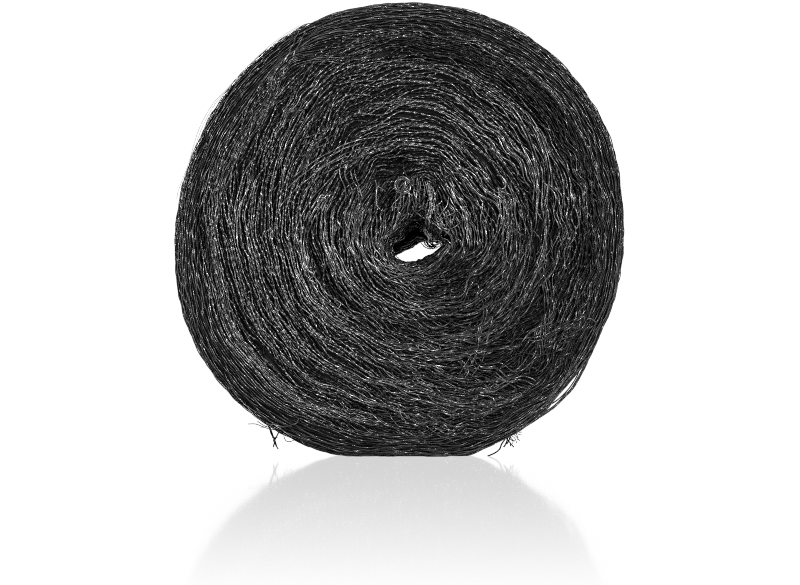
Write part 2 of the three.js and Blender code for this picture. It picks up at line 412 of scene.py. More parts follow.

# Layers of strands over a reach of the section. A strand has rings a step apart, and a lift over the skin and
# a tone within two values, which holds painted shade too: deeper layers are darker. Lanes lie a pitch apart,
# are pushed or not, drift, end at a stagger and are split into sheets. Calm stretches are thinned and get
# painted shade; calm is the least share of calm strands
DEEP = dict(
    reach=(0.02, 0.75), lanes=8, pitch=1.6 * MM, rings=50, step=2.6 * MM, width=1.0 * MM, push=1,
    lift=(-2.6 * MM, -1.7 * MM), tone_and_painted_light=(0.1, 0.48), drift=0.7 * MM, sheets=1, stagger=0.3, thin=0,
    calm=0, calm_painted_shade=0.45)
UNDER = dict(
    DEEP, lanes=20, pitch=1.8 * MM, rings=36, step=1.8 * MM, lift=(-1.6 * MM, -0.8 * MM), tone_and_painted_light=(0.2, 0.62),
    sheets=2)
OVER = dict(
    UNDER, lanes=22, pitch=1.6 * MM, lift=(-0.6 * MM, 0.3 * MM), tone_and_painted_light=(0.48, 1.06), thin=0.4, calm_painted_shade=0.8)
CROSS = dict(
    reach=(0.10, 0.72), locks=66, each=5, rings=34, step=1.8 * MM, width=1.1 * MM, pitch=2.1 * MM,
    lift=(-0.2 * MM, 0.2 * MM), tone_and_painted_light=(0.68, 1.18), lean=6 * DEG, bend=18 * DEG,
    calm=0.9, calm_painted_shade=1)
SHOULDER = dict(
    reach=(0.69, 0.98), lanes=6, pitch=1.35 * MM, rings=60, step=2.4 * MM, width=0.85 * MM, push=0,
    lift=(-0.8 * MM, 0.3 * MM), tone_and_painted_light=(0.28, 0.68), drift=0.6 * MM, sheets=1, stagger=0.04, thin=0,
    calm=0.9, calm_painted_shade=1)
RIM = dict(SHOULDER, reach=(0.93, 1.27), pitch=1.9 * MM, step=3.0 * MM, width=1.1 * MM)
BACK = dict(
    reach=(1.22, 1.98), lanes=8, pitch=1.8 * MM, rings=50, step=3.1 * MM, width=1.2 * MM, push=0,
    lift=(-1.2 * MM, 0.5 * MM), tone_and_painted_light=(0.3, 1.0), drift=1.2 * MM, sheets=2, stagger=0.1, thin=0,
    calm=0, calm_painted_shade=1)

# How strands laid along listed routes lie: width, tone with painted light and shade, lift over the solid's
# front or over a depth of their own, in mm
CORE_RINGS, LOOSE_RINGS = 26, 24
DRAPE_KINK, KINK_STARTS = 0.3, 6.3  # of a strand's width, and radians
CORE_FANS = (  # with the count of strands between the guides, and how far they are moved in pixels
    (INNER_WALL, 10, 0.4, 0.9, (0.0, 0.2), (-1.0, 0)),
    (TONGUE, 12, 0.9, 0.95, (0.4, 1.0), (-0.5, 1.2)),
    (RIGHT_TURNS, 14, 1.0, 0.95, (0.4, 0.85), (0, 1.2)),
    (HANGING_TURNS, 14, 0.5, 1.0, (0.1, 0.6), (0, 1.2)),
    (ROPE, 9, 0.9, 0.95, (0.6, 1.0), (0.5, 2.5)),
    (LOWER_LIP, 6, 0.5, 1.0, (0.2, 0.75), (0.5, 1.5)),
)
CROWN_LIE = (0.95, (0.6, 0.9), (1.5, 2.5))
RIGHT_LIE = (0.95, (0.5, 0.85), (1.0, 2.5))
HOLE_LIE = (0.6, (0.0, 0.3), (0, 0.5))
TANGLE_LIES = (  # with the count of strands first
    (8, 0.9, (0.2, 0.7), (0, 1.5)),
    (12, 0.9, (0.2, 0.8), (-0.5, 1.5)),
)
AT_RIM = ((-1.0, 1.0), -15)
LOOSE_ENDS = (
    (BRIGHT_HOOK, 1.2, (1.0, 1.0), (2.0, 2.5)),
    (FACE_CURLS, 1.0, (0.8, 1.0), (1.0, 2.0)),
    (EDGE_BITS, 0.9, (0.8, 1.0), *AT_RIM),
    (UPPER_STRANDS, 1.0, (0.8, 1.0), (1.0, 2.0)),
    (KNOT_ENDS, 0.9, (0.0, 0.3), *AT_RIM),
    (FRAY_ENDS, 1.0, (0.0, 0.3), *AT_RIM),
    (EDGE_STRANDS, 1.2, (0.3, 0.5), *AT_RIM),
    (FINE_ENDS, 0.5, (0.1, 0.4), *AT_RIM),
    (EDGE_HAIRS, 0.2, (0.6, 0.9), *AT_RIM),
)


def blur(values, along, across, slope=0.0):
    """Blurs a grid that wraps both ways by a Gauss curve of these sizes in cells, along a slope."""
    rows = np.fft.fftfreq(values.shape[0])[:, None]
    cols = np.fft.fftfreq(values.shape[1])[None, :]
    keep = np.exp(-2 * np.pi ** 2 * (((rows + slope * cols) * along) ** 2 + (cols * across) ** 2))
    if values.ndim == 3:
        keep = keep[:, :, None]
    return np.real(np.fft.ifft2(np.fft.fft2(values, axes=(0, 1)) * keep, axes=(0, 1)))


def noise_grid(rng, along, across):
    """Noise of spread 1 on the skin's grid, with features of these sizes in cells along the winding."""
    grid = blur(rng.standard_normal(GRID), along, across, WINDING_SLOPE)
    return (grid - grid.mean()) / grid.std()


def unit(vectors):
    return vectors / np.maximum(np.linalg.norm(vectors, axis=-1, keepdims=True), 1e-12)


def smooth_step(values):
    share = np.clip(values, 0, 1)
    return share * share * (3 - 2 * share)


def bell(off, spread):
    """1 where nothing is off, and towards 0 beyond the spread."""
    return np.exp(-(off / spread) ** 2)


def down_to(low, share):
    """1 where the share is 0, and low where it is 1."""
    return 1 - (1 - low) * share


def angle_off(middle):
    """How far each row's angle lies from a middle one, the short way round."""
    return np.mod(ANGLES - middle + np.pi, 2 * np.pi) - np.pi


def photo_place(x, y):
    """X and Z in metres of a pixel of the photograph, on the roll."""
    return (np.asarray(x) - MIDDLE_PIXEL) * PIXEL, (FLOOR_PIXEL - np.asarray(y)) * PIXEL


def curve_through(points, count):
    """A smooth curve through these points, as evenly numbered points along it."""
    points = np.asarray(points, float)
    slopes = np.gradient(points, axis=0)
    place = np.linspace(0, len(points) - 1, count)
    first = np.minimum(place.astype(int), len(points) - 2)
    t = (place - first)[:, None]
    a, b, da, db = points[first], points[first + 1], slopes[first], slopes[first + 1]
    return a + da * t + (3 * (b - a) - 2 * da - db) * t ** 2 + (2 * (a - b) + da + db) * t ** 3


def fit_hole(points):
    """Moves the hole's wall so that it opens as in the photograph."""
    outline = (np.array(HOLE_OUTLINE) - HOLE_PIXEL) * PIXEL
    bearing = np.arctan2(-outline[:, 1], outline[:, 0])
    reach = np.hypot(outline[:, 0], outline[:, 1])
    wanted = np.interp(ANGLES, bearing, reach, period=2 * np.pi) + WALL_STRANDS
    below = np.minimum(PLACES, 2 - PLACES)
    lower = 1 - smooth_step((below - LOWER_WALL) / LOWER_WALL_BLEND)
    upper = 1 - smooth_step((np.abs(PLACES - UPPER_WALL) - UPPER_WALL_REACH) / UPPER_WALL_BLEND)
    hold = lower + (upper - lower) * smooth_step(0.5 + UPPER_WALL_EDGE * np.sin(ANGLES))
    out = points[..., [0, 2]] - np.array([HOLE_AXIS_X, HOLE_AXIS_Z])
    radius = np.linalg.norm(out, axis=2, keepdims=True)
    narrowest = radius[:, below[0] < LOWER_WALL].min(1)
    move = np.clip(wanted - narrowest, -WALL_MOVE, WALL_MOVE)
    move = move * np.where(move > 0, np.maximum(lower, hold), hold)
    fitted = points.copy()
    fitted[..., [0, 2]] += out / radius * move[..., None]
    return fitted


class Skin:
    """The solid's skin as a grid of points, by turns round the roll from +X and places on the section."""

    def __init__(self, solid):
        mesh = solid.data
        corners = [v.co.copy() for v in mesh.vertices]
        self.tree = BVHTree.FromPolygons(corners, [tuple(p.vertices) for p in mesh.polygons])
        rows = [self.section_at(i / TURN_CELLS) for i in range(TURN_CELLS)]
        points = fit_hole(blur(np.array(rows), *SKIN_SMOOTH))
        points[..., 2] = np.maximum(points[..., 2], 0)
        by_turn = (np.roll(points, -1, 0) - np.roll(points, 1, 0)) * TURN_CELLS / 2
        by_section = (np.roll(points, -1, 1) - np.roll(points, 1, 1)) * SECTION_CELLS / 4
        self.points = points
        self.normals = unit(np.cross(by_section, by_turn))
        self.turn_length = np.linalg.norm(by_turn, axis=2)
        self.section_length = np.linalg.norm(by_section, axis=2)
        self.rim = smooth_step((1 - RIM_START - np.abs(PLACES - 1)) / SHOULDER_BLEND)
        self.hole = smooth_step((HOLE_END - np.minimum(PLACES, 2 - PLACES)) / HOLE_BLEND)

    def section_at(self, turn):
        """The section's outline at one angle, evenly spaced along each half."""
        angle = 2 * math.pi * turn
        outward = Vector((math.cos(angle), 0, math.sin(angle)))
        front = Vector((0, -1, 0))
        axis = Vector((HOLE_AXIS_X, 0, HOLE_AXIS_Z))
        wall = self.tree.ray_cast(axis, outward)[0]
        rim = self.tree.ray_cast(axis + outward, -outward)[0]
        middle = (wall + rim) / 2
        tilts = [math.pi - 2 * math.pi * j / SECTION_CELLS for j in range(SECTION_CELLS + 1)]
        looks = [outward * math.cos(tilt) + front * math.sin(tilt) for tilt in tilts]
        hits = np.array([self.tree.ray_cast(middle, look)[0] for look in looks])
        half = SECTION_CELLS // 2
        lengths = np.concatenate([[0], np.cumsum(np.linalg.norm(np.diff(hits, axis=0), axis=1))])
        first, last = lengths / lengths[half], 1 + (lengths - lengths[half]) / (lengths[-1] - lengths[half])
        place = np.where(np.arange(len(lengths)) <= half, first, last)
        return np.stack([np.interp(PLACES[0], place, hits[:, k]) for k in range(3)], 1)

    def at(self, turn, section):
        """A function that reads a grid at these places, between its cells."""
        row, col = np.mod(turn, 1) * TURN_CELLS, np.mod(section, 2) / 2 * SECTION_CELLS
        r0, c0 = np.floor(row).astype(int), np.floor(col).astype(int)
        fr, fc = (row - r0)[..., None], (col - c0)[..., None]
        r0, c0 = r0 % TURN_CELLS, c0 % SECTION_CELLS
        r1, c1 = (r0 + 1) % TURN_CELLS, (c0 + 1) % SECTION_CELLS

        def read(grid):
            cells = grid.reshape(*GRID, -1)
            near = cells[r0, c0] * (1 - fc) + cells[r0, c1] * fc
            far = cells[r1, c0] * (1 - fc) + cells[r1, c1] * fc
            values = near * (1 - fr) + far * fr
            return values if grid.ndim == 3 else values[..., 0]

        return read


def add_flow(skin):
    """How the turns run: pushed to one side, disordered in some stretches and calm in others."""
    push = (TURN_PUSH * np.cos(ANGLES - TURN_PUSH_ANGLE)
            + TURN_STRETCH * np.cos(2 * (ANGLES - TURN_STRETCH_ANGLE))
            + TURN_BEND * np.cos(3 * (ANGLES - TURN_BEND_ANGLE))
            - TURN_DENT * bell(angle_off(TURN_DENT_ANGLE), TURN_DENT_SPREAD))
    skin.push = push * np.ones_like(PLACES)
    skin.flow = np.gradient(skin.push, 2 * np.pi / TURN_CELLS, axis=0) + FLOW_OUT
    skin.disorder = np.ones(GRID)
    for middle, spread, size in DISORDER:
        skin.disorder += size * bell(angle_off(middle), spread)
    skin.curl = (skin.disorder - 1) / (skin.disorder.max() - 1)
    skin.calm = bell(angle_off(CALM_ANGLE), CALM_SPREAD) * smooth_step((PLACES - CALM_START) / CALM_BLEND)


def front_patch(skin, x, y, wide, high):
    """How far each cell of the front face lies inside an oval of the photograph: 1 is its middle."""
    middle_x, middle_z = photo_place(x, y)
    across = (skin.points[..., 0] - middle_x) / (wide * PIXEL)
    up = (skin.points[..., 2] - middle_z) / (high * PIXEL)
    return np.exp(-(across ** 2 + up ** 2)) * (PLACES < 1)


def height_over_mean(skin, points, cells):
    """How far points stand out of their mean place, taken over cells around."""
    return ((points - blur(points, *cells)) * skin.normals).sum(2)


def add_bundles(skin, rng):
    """Raises the gathered net's bundles: rounded ridges with sharp valleys, gone where the roll stands."""
    broad = np.tanh(np.abs(noise_grid(rng, *BROAD_BUNDLE)) / BUNDLE_EDGE)
    fine = np.tanh(np.abs(noise_grid(rng, *FINE_BUNDLE)) / BUNDLE_EDGE)
    relief = BROAD_HEIGHT * (broad - broad.mean()) + FINE_HEIGHT * (fine - fine.mean()) - BUNDLE_TOP
    standing = smooth_step(skin.points[..., 2] / STANDING_BLEND)
    skin.relief = relief * standing * down_to(RIM_BUNDLES, skin.rim) * (1 - skin.hole)
    broad_level = height_over_mean(skin, skin.points, CREASE_CELLS)
    skin.broad_level = broad_level * (1 - skin.rim) * (1 - skin.hole)
    skin.relief += CREASE_FILL * np.maximum(-skin.broad_level, 0)


def add_pockets(skin):
    """Sinks the pockets between the crumpled inner turns, and keeps where they get painted shade."""
    skin.pocket = np.zeros(GRID)
    for *oval, depth in POCKETS:
        patch = front_patch(skin, *oval)
        skin.relief -= depth * MM * patch
        skin.pocket = np.maximum(skin.pocket, patch)


def add_dent(skin):
    """Presses the dent in the rim."""
    middle, place, turn_spread, place_spread, depth = RIM_DENT
    skin.relief -= depth * bell(angle_off(middle), turn_spread) * bell(PLACES - place, place_spread)


def add_crease_lines(skin):
    """Sinks the thin creases of the front face, and keeps how much painted shade each cell gets from them."""
    front = skin.points[:, :SECTION_CELLS // 2]
    skin.line = np.zeros(GRID)
    front_line = skin.line[:, :SECTION_CELLS // 2]
    for route, wide, share in CREASE_LINES:
        away = np.full(front.shape[:2], np.inf)
        for x, z in zip(*photo_place(*curve_through(route, CREASE_POINTS).T)):
            away = np.minimum(away, np.hypot(front[..., 0] - x, front[..., 2] - z))
        np.maximum(front_line, share * bell(away, wide * PIXEL), out=front_line)
    skin.relief -= CREASE_LINE_DEPTH * skin.line


def add_sheen(skin):
    """Painted light and shade of each cell's strands: by their place on the roll, lighter on crests, darker
    in valleys, creases, pockets and tangles.
    """
    face = (1 + SHEEN_SIDE * np.cos(ANGLES - SHEEN_SIDE_ANGLE)
            + SHEEN_DIAGONAL * np.cos(2 * (ANGLES - SHEEN_DIAGONAL_ANGLE)))
    rim = 1 + SHEEN_RIM * bell(angle_off(SHEEN_RIM_ANGLE), SHEEN_RIM_SPREAD) + SHEEN_RIM_SHARE * (face - 1)
    sheen = face + (rim - face) * skin.rim
    sheen = sheen * (1 - INNER_SHADE * bell(PLACES - INNER_PLACE, INNER_SPREAD))
    surface = skin.points + skin.normals * skin.relief[..., None]
    level = height_over_mean(skin, surface, LEVEL_CELLS)
    valley = 1 - smooth_step((level - VALLEY) / (CREST - VALLEY))
    crease = 1 - smooth_step((skin.broad_level - CREASE) / (CREASE_EDGE - CREASE))
    for *oval, more in SHEEN_PATCHES:
        sheen = sheen * (1 + more * front_patch(skin, *oval))
    skin.tangle = np.max([front_patch(skin, *oval) for oval in TANGLES], axis=0)
    shades = ((VALLEY_PAINTED_SHADE, valley), (CREASE_PAINTED_SHADE, crease), (CREASE_LINE_PAINTED_SHADE, skin.line),
              (POCKET_PAINTED_SHADE, skin.pocket), (TANGLE_PAINTED_SHADE, skin.tangle))
    for low, share in shades:
        sheen = sheen * down_to(low, share)
    skin.sheen = sheen


def add_map(mesh, name, corners):
    """Keeps a place on a map for each corner of a mesh's faces."""
    layer = mesh.uv_layers.new(name=name)
    layer.data.foreach_set("uv", corners.astype(np.float32).ravel())


def add_object(name, data):
    made = bpy.data.objects.new(name, data)
    bpy.context.scene.collection.objects.link(made)
    return made


def mesh_from(name, points, faces):
    """A mesh object from arrays of points and four-cornered faces."""
    mesh = bpy.data.meshes.new(name)
    mesh.vertices.add(len(points))
    mesh.vertices.foreach_set("co", points.astype(np.float32).ravel())
    mesh.loops.add(faces.size)
    mesh.loops.foreach_set("vertex_index", faces.astype(np.int32).ravel())
    mesh.polygons.add(len(faces))
    mesh.polygons.foreach_set("loop_start", np.arange(0, faces.size, 4, dtype=np.int32))
    mesh.update(calc_edges=True)
    mesh.shade_smooth()
    return add_object(name, mesh)


def roll_body(skin):
    """The mass under the strands, painted near black as shade: the skin with its bundles, a little below
    them.
    """
    inset = FACE_INSET + (RIM_INSET - FACE_INSET) * skin.rim + (HOLE_INSET - FACE_INSET) * skin.hole
    points = skin.points + skin.normals * (skin.relief - inset)[..., None]
    points[..., 2] = np.maximum(points[..., 2], BODY_FLOOR)
    points = points[::BODY_STEP[0], ::BODY_STEP[1]]
    rows, cols = points.shape[:2]
    corners = np.stack(np.indices((rows, cols)), -1)[:, :, None] + FACE_CORNERS
    faces = corners[..., 0] % rows * cols + corners[..., 1] % cols
    piece = mesh_from("roll_body", points.reshape(-1, 3), faces.reshape(-1, 4))
    add_map(piece.data, YARN_MAP, corners / (rows, cols) * BODY_FIBRES)
    return piece


def tubes(name, lines, ups, widths, twists, tones_and_painted_light, calm):
    """Joined strands: each line of points gets a four-sided section, and each face one of the yarns, a lit or
    shaded copy picked by its tone and painted light.
    """
    count, rings = lines.shape[:2]
    along = unit(np.gradient(lines, axis=1))
    side = unit(np.cross(along, ups))
    up = np.cross(side, along)
    s0 = np.arange(STRAND_SIDES)
    s1 = (s0 + 1) % STRAND_SIDES
    corner = s0 * 2 * np.pi / STRAND_SIDES + np.pi / STRAND_SIDES
    across = np.cos(corner) * widths[..., None] / 2
    above = np.sin(corner) * widths[..., None] / 2 * STRAND_FLAT
    points = lines[:, :, None] + side[:, :, None] * across[..., None] + up[:, :, None] * above[..., None]
    start = np.arange(count)[:, None] * rings * STRAND_SIDES
    first = start[..., None] + np.arange(rings - 1)[:, None] * STRAND_SIDES
    walls = np.stack([first + s0, first + s1, first + STRAND_SIDES + s1, first + STRAND_SIDES + s0], -1)
    ends = np.concatenate([start + s0[::-1], start + (rings - 1) * STRAND_SIDES + s0])
    piece = mesh_from(name, points.reshape(-1, 3), np.concatenate([walls.reshape(-1, 4), ends]))
    add_yarn_map(piece.data, twists)
    add_bake_map(piece.data, count, rings)
    tone_and_painted_light = piece.data.attributes.new("tone_and_painted_light", "FLOAT", "POINT")
    tone_and_painted_light.data.foreach_set("value", np.repeat(tones_and_painted_light, STRAND_SIDES).astype(np.float32))
    face_tones_and_painted_light = np.repeat((tones_and_painted_light[:, :-1] + tones_and_painted_light[:, 1:]) / 2, STRAND_SIDES)
    face_tones_and_painted_light = np.concatenate([face_tones_and_painted_light, tones_and_painted_light[:, 0], tones_and_painted_light[:, -1]])
    face_calm = np.concatenate([np.repeat(calm, (rings - 1) * STRAND_SIDES), calm, calm])
    # The face's tone and painted light pick a lit or shaded gloss copy of its yarn
    levels = len(YARN_GLOSS)
    level = np.clip(face_tones_and_painted_light * levels, 0, levels - 1).astype(np.int32)
    piece.data.polygons.foreach_set("material_index", level + levels * face_calm)
    return piece


def add_yarn_map(mesh, twists):
    """The yarn's own map, which runs along each strand by its twist and round it. Its ends have none."""
    here = np.repeat(twists[:, :-1, None], STRAND_SIDES, 2)
    there = np.repeat(twists[:, 1:, None], STRAND_SIDES, 2)
    low = np.broadcast_to(np.arange(STRAND_SIDES) * PLY_SLANT / STRAND_SIDES, here.shape)
    high = low + PLY_SLANT / STRAND_SIDES
    walls = np.stack([here, low, here, high, there, high, there, low], -1)
    ends = np.zeros((len(twists), 2, FACE_CORNERS.size))
    add_map(mesh, YARN_MAP, np.concatenate([walls.ravel(), ends.ravel()]))


def add_bake_map(mesh, count, rings):
    """A map for baking: each strand is a strip of its own, with its end faces above it."""
    wide, high = (rings - 1) * BAKE_STRETCH + BAKE_GAP, STRAND_SIDES + 1 + 2 * BAKE_END_GAP
    columns = max(1, round(math.sqrt(count * high / wide)))
    strand = np.arange(count)
    place = np.stack([strand % columns * wide, strand // columns * high], -1)[:, None]
    cells = np.stack(np.indices((rings - 1, STRAND_SIDES)), -1)
    walls = place[:, None, None] + (cells[:, :, None] + FACE_CORNERS) * (BAKE_STRETCH, 1)
    ends = [place + (start, STRAND_SIDES + BAKE_END_GAP) + FACE_CORNERS for start in BAKE_END_PLACES]
    corners = np.concatenate([part.ravel() for part in (walls, *ends)])
    add_map(mesh, BAKE_MAP, corners / (corners.max() + BAKE_GAP))


def own_waves(rng, run, count, lengths, starts=2 * np.pi):
    """A wave along each strand, with a length and a start of its own."""
    angle = 2 * np.pi * run / rng.uniform(*lengths, count)[:, None]
    return np.sin(angle + rng.uniform(0, starts, count)[:, None])


def lane_starts(skin, rng, layer, start, end, per_turn):
    """Cuts each lane into lengths: the turn where each starts, and its lane's first place and number."""
    lanes = layer["lanes"]
    length = layer["step"] * (layer["rings"] - 1 - END_RINGS)
    found = []
    for lane in range(lanes):
        first = start - per_turn * lane / lanes
        ways = np.arange(0, (end - first) / per_turn, 1 / LANE_STEPS)
        ways = ways[first + ways * per_turn > start]
        run = np.cumsum(skin.at(ways, first + ways * per_turn)(skin.turn_length)) / LANE_STEPS
        starts = np.arange(rng.uniform(-length, 0), run[-1], length)
        starts = starts + rng.uniform(-1, 1, len(starts)) * layer["stagger"] * length
        turn = np.interp(starts, run, ways)
        found.append((turn, np.full_like(turn, first), np.full_like(turn, lane)))
    return np.concatenate(found, axis=1)


def lane_places(skin, rng, layer):
    """Spiral lanes over part of the skin: turn and section of their strands' rings, and lane numbers."""
    rings, push = layer["rings"], layer["push"]
    start, end = layer["reach"]
    cols = np.arange(int(start / 2 * SECTION_CELLS), int(end / 2 * SECTION_CELLS))
    across = skin.section_length[:, cols].mean()
    per_turn = layer["lanes"] * layer["pitch"] / across
    spare_start, spare_end = start - push * LANE_SPARE[0], end + push * LANE_SPARE[1]
    turn, shift, number = lane_starts(skin, rng, layer, spare_start, spare_end, per_turn)
    turns, sections = [], []
    for _ in range(rings):
        lane_section = shift + turn * per_turn
        here = skin.at(turn, lane_section)
        section = lane_section + here(skin.turn_length) / (2 * np.pi) * here(skin.push) * push / across
        turns.append(turn)
        sections.append(section)
        turn = turn + layer["step"] / skin.at(turn, section)(skin.turn_length)
    turns, sections = np.stack(turns, 1), np.stack(sections, 1)
    middle = sections[:, rings // 2]
    here = skin.at(turns[:, rings // 2], middle)
    room = 1 + push * here(skin.push)
    inside = (middle > start - LANE_EDGE) & (middle < end + LANE_EDGE)
    inside &= np.mod(number * GOLDEN_SHARE, 1) < room / room.max()
    inside &= rng.random(len(turns)) > layer["thin"] * here(skin.calm)
    return turns[inside], sections[inside], number[inside]


def lay_lanes(name, skin, rng, layer):
    """One layer of the gathered net: neighbour strands swing apart and together, as its closed meshes do."""
    turns, sections, number = lane_places(skin, rng, layer)
    count, rings = turns.shape
    here = skin.at(turns, sections)
    move = here(layer["drift"] * noise_grid(rng, *DRIFT_CELLS))
    rise = np.zeros_like(turns)
    cell = skin.turn_length / TURN_CELLS
    swirl = SWIRL_LEAN * SWIRL_CELLS[0] * cell * skin.disorder * down_to(SWIRL_AT_RIM, skin.rim)
    curl = CURL_LEAN * CURL_CELLS[0] * cell * skin.curl * (1 - skin.rim)
    for sheet in range(layer["sheets"]):
        own = number % layer["sheets"] == sheet
        own_here = skin.at(turns[own], sections[own])
        patches = np.tanh(SHEET_EDGE * noise_grid(rng, *SWIRL_CELLS))
        rise[own] = own_here(SHEET_RISE * skin.curl * patches)
        move[own] += own_here(swirl * noise_grid(rng, *SWIRL_CELLS) + curl * noise_grid(rng, *CURL_CELLS))
    swing = MESH_SWING[0] + MESH_SWING[1] * smooth_step(0.5 + 0.5 * noise_grid(rng, *SWING_CELLS))
    phase = PHASE_SHIFT * here(noise_grid(rng, *PHASE_CELLS))
    around = here(skin.turn_length) * np.mod(turns, 1) / MESH_LENGTH
    angle = 2 * np.pi * (around + 0.5 * number[:, None] + phase)
    pointed_wave = np.sin(angle) - np.sin(3 * angle) / 9
    run = np.arange(rings)[None] * layer["step"]
    kinks = KINK_SIZE * own_waves(rng, run, count, KINK_LENGTH)
    wander = WANDER_SIZE * own_waves(rng, run, count, WANDER_LENGTH) * here(skin.disorder)
    move = move + here(layer["pitch"] * swing / skin.disorder) * pointed_wave + kinks + wander
    return finish_strands(name, skin, rng, turns, sections + move / here(skin.section_length), layer, rise)


def lay_locks(name, skin, rng, layer):
    """Locks of strands that cross the others: each starts somewhere and wanders off with its own heading."""
    rings, step, each = layer["rings"], layer["step"], layer["each"]
    tries = LOCK_TRIES * layer["locks"]
    turn, section = rng.random(tries), rng.uniform(*layer["reach"], tries)
    room = skin.at(turn, section)(skin.turn_length * skin.curl)
    keep = np.flatnonzero(rng.random(tries) < room / room.max())[:layer["locks"]]
    turn, section = turn[keep], section[keep]
    locks = len(turn)
    count = locks * each
    here = skin.at(turn, section)
    lean = rng.normal(0, layer["lean"], locks) * here(skin.disorder)
    lean = np.clip(lean, -LOCK_LEAN, LOCK_LEAN) + here(skin.flow)
    bend = rng.normal(0, layer["bend"], locks)
    wave = rng.uniform(*LOCK_WAVE_LENGTH, locks)
    wave_size = np.abs(rng.normal(0, LOCK_WAVE, locks))
    wave_start = rng.uniform(0, 2 * np.pi, locks)
    rise = rng.uniform(*LOCK_RISE, locks)
    shared = (turn, section, lean, bend, wave, wave_size, wave_start, rise)
    turn, section, lean, bend, wave, wave_size, wave_start, rise = np.repeat(shared, each, axis=1)
    place = np.tile(np.arange(each) - (each - 1) / 2, locks) + rng.normal(0, LOCK_LOOSE, count)
    aside, ahead = place * layer["pitch"], rng.uniform(-0.5, 0.5, count) * LOCK_STAGGER
    here = skin.at(turn, section)
    section = section + (aside * np.cos(lean) + ahead * np.sin(lean)) / here(skin.section_length)
    turn = turn + (ahead * np.cos(lean) - aside * np.sin(lean)) / here(skin.turn_length)
    lean = lean + rng.normal(0, LOCK_FRAY, count)
    turns, sections = [], []
    for ring in range(rings):
        turns.append(turn)
        sections.append(section)
        swing = np.sin(2 * np.pi * (ring * step + ahead) / wave + wave_start)
        heading = lean + bend * (ring / rings - 0.5) + wave_size * swing
        turn = turn + step * np.cos(heading) / skin.at(turn, section)(skin.turn_length)
        section = section + step * np.sin(heading) / skin.at(turn, section)(skin.section_length)
    return finish_strands(name, skin, rng, np.stack(turns, 1), np.stack(sections, 1), layer, rise[:, None])


def finish_strands(name, skin, rng, turns, sections, layer, rise):
    """Gives strands at these places their heights, widths, twist, and tones with painted light and shade."""
    count, rings = turns.shape
    here = skin.at(turns, sections)
    ring = np.arange(rings)[None]
    run = ring * layer["step"]
    weave = own_waves(rng, run, count, WEAVE_LENGTH)
    heights = rng.uniform(*layer["lift"], count)[:, None] + WEAVE_HEIGHT * weave + rise
    ends = np.minimum(ring, rings - 1 - ring) / END_RINGS
    start, end = layer["reach"]
    beyond = np.maximum(start - sections, sections - end) / LANE_EDGE
    heights = heights - END_DIVE * (1 - smooth_step(ends)) - END_DIVE * smooth_step(beyond)
    heights = heights - TANGLE_DROP * here(skin.tangle) + here(skin.relief)
    ups = here(skin.normals)
    lines = here(skin.points) + ups * heights[..., None]
    lines[..., 2] = np.maximum(lines[..., 2], layer["width"] / 2)
    widths = layer["width"] * rng.uniform(*WIDTH_SPREAD, count)[:, None] * np.ones((1, rings))
    calm = rng.random(count) < np.maximum(here(skin.calm).mean(1), layer["calm"])
    ply = np.where(calm, CALM_PLY_LENGTH, PLY_LENGTH) * rng.uniform(*PLY_SPREAD, count)
    twists = run / ply[:, None] + rng.random(count)[:, None]
    # Each strand's own tone, times the painted light and shade of its cells
    tones_and_painted_light = rng.uniform(*layer["tone_and_painted_light"], count)[:, None] * here(skin.sheen)
    flecks = (rng.uniform(*FLECKS, (count, rings)) - 1) * np.where(calm, CALM_FLECKS, 1)[:, None]
    # Painted shade in the calm stretches, and where a strand lies low in its weave
    tones_and_painted_light = tones_and_painted_light * down_to(layer["calm_painted_shade"], here(skin.calm)) * down_to(1 - WEAVE_SHADE, (1 - weave) / 2)
    return tubes(name, lines, ups, widths, twists, tones_and_painted_light * (1 + flecks), calm)


def fan(guides, count, rng, spread):
    """Routes between neighbour guides, each moved a little."""
    guides = np.array(guides, float)
    for share in (np.arange(count) + rng.random(count)) / count * (len(guides) - 1):
        first = min(int(share), len(guides) - 2)
        route = guides[first] + (guides[first + 1] - guides[first]) * (share - first)
        yield route + rng.normal(0, spread, route.shape)


def curl_routes(rng):
    """The round curl at the tongue's crown."""
    x, y = CURL_MIDDLE
    for radius in CURL_RADII:
        angles = np.linspace(*CURL_TURN, CURL_POINTS) + rng.random()
        yield np.stack([x + radius * np.cos(angles), y - radius * np.sin(angles)], 1)


def front_hits(skin, x, z):
    """Where a look along Y meets the solid's front at these places, or None over its hole."""
    return [skin.tree.ray_cast(Vector((a, -1, b)), Vector((0, 1, 0)))[0] for a, b in zip(x, z)]


def tangle_routes(skin, rng, oval, count):
    """Short bent strands that lie every way inside an oval of the photograph, and not over the hole."""
    x, y, *reach = oval
    routes = []
    while len(routes) < count:
        heading, bend = rng.uniform(0, 2 * np.pi), rng.normal(0, TANGLE_BEND)
        start = (x, y) + rng.uniform(-TANGLE_REACH, TANGLE_REACH, 2) * reach
        headings = heading + bend * np.arange(TANGLE_MOVES)
        moves = np.stack([np.cos(headings), np.sin(headings)], 1) * rng.uniform(*TANGLE_LENGTH) / TANGLE_MOVES
        route = start + np.cumsum(moves, 0)
        if None not in front_hits(skin, *photo_place(*route.T)):
            routes.append(route)
    return routes


def front_depth(skin, x, z):
    """Y of the solid's front at these places, bridged over the hole and evened out along the route."""
    hits = front_hits(skin, x, z)
    known = [i for i, hit in enumerate(hits) if hit is not None]
    depth = np.interp(np.arange(len(hits)), known, [hits[i].y for i in known])
    padded = np.pad(depth, DEPTH_POINTS // 2, mode="edge")
    return np.convolve(padded, np.ones(DEPTH_POINTS) / DEPTH_POINTS, mode="valid")


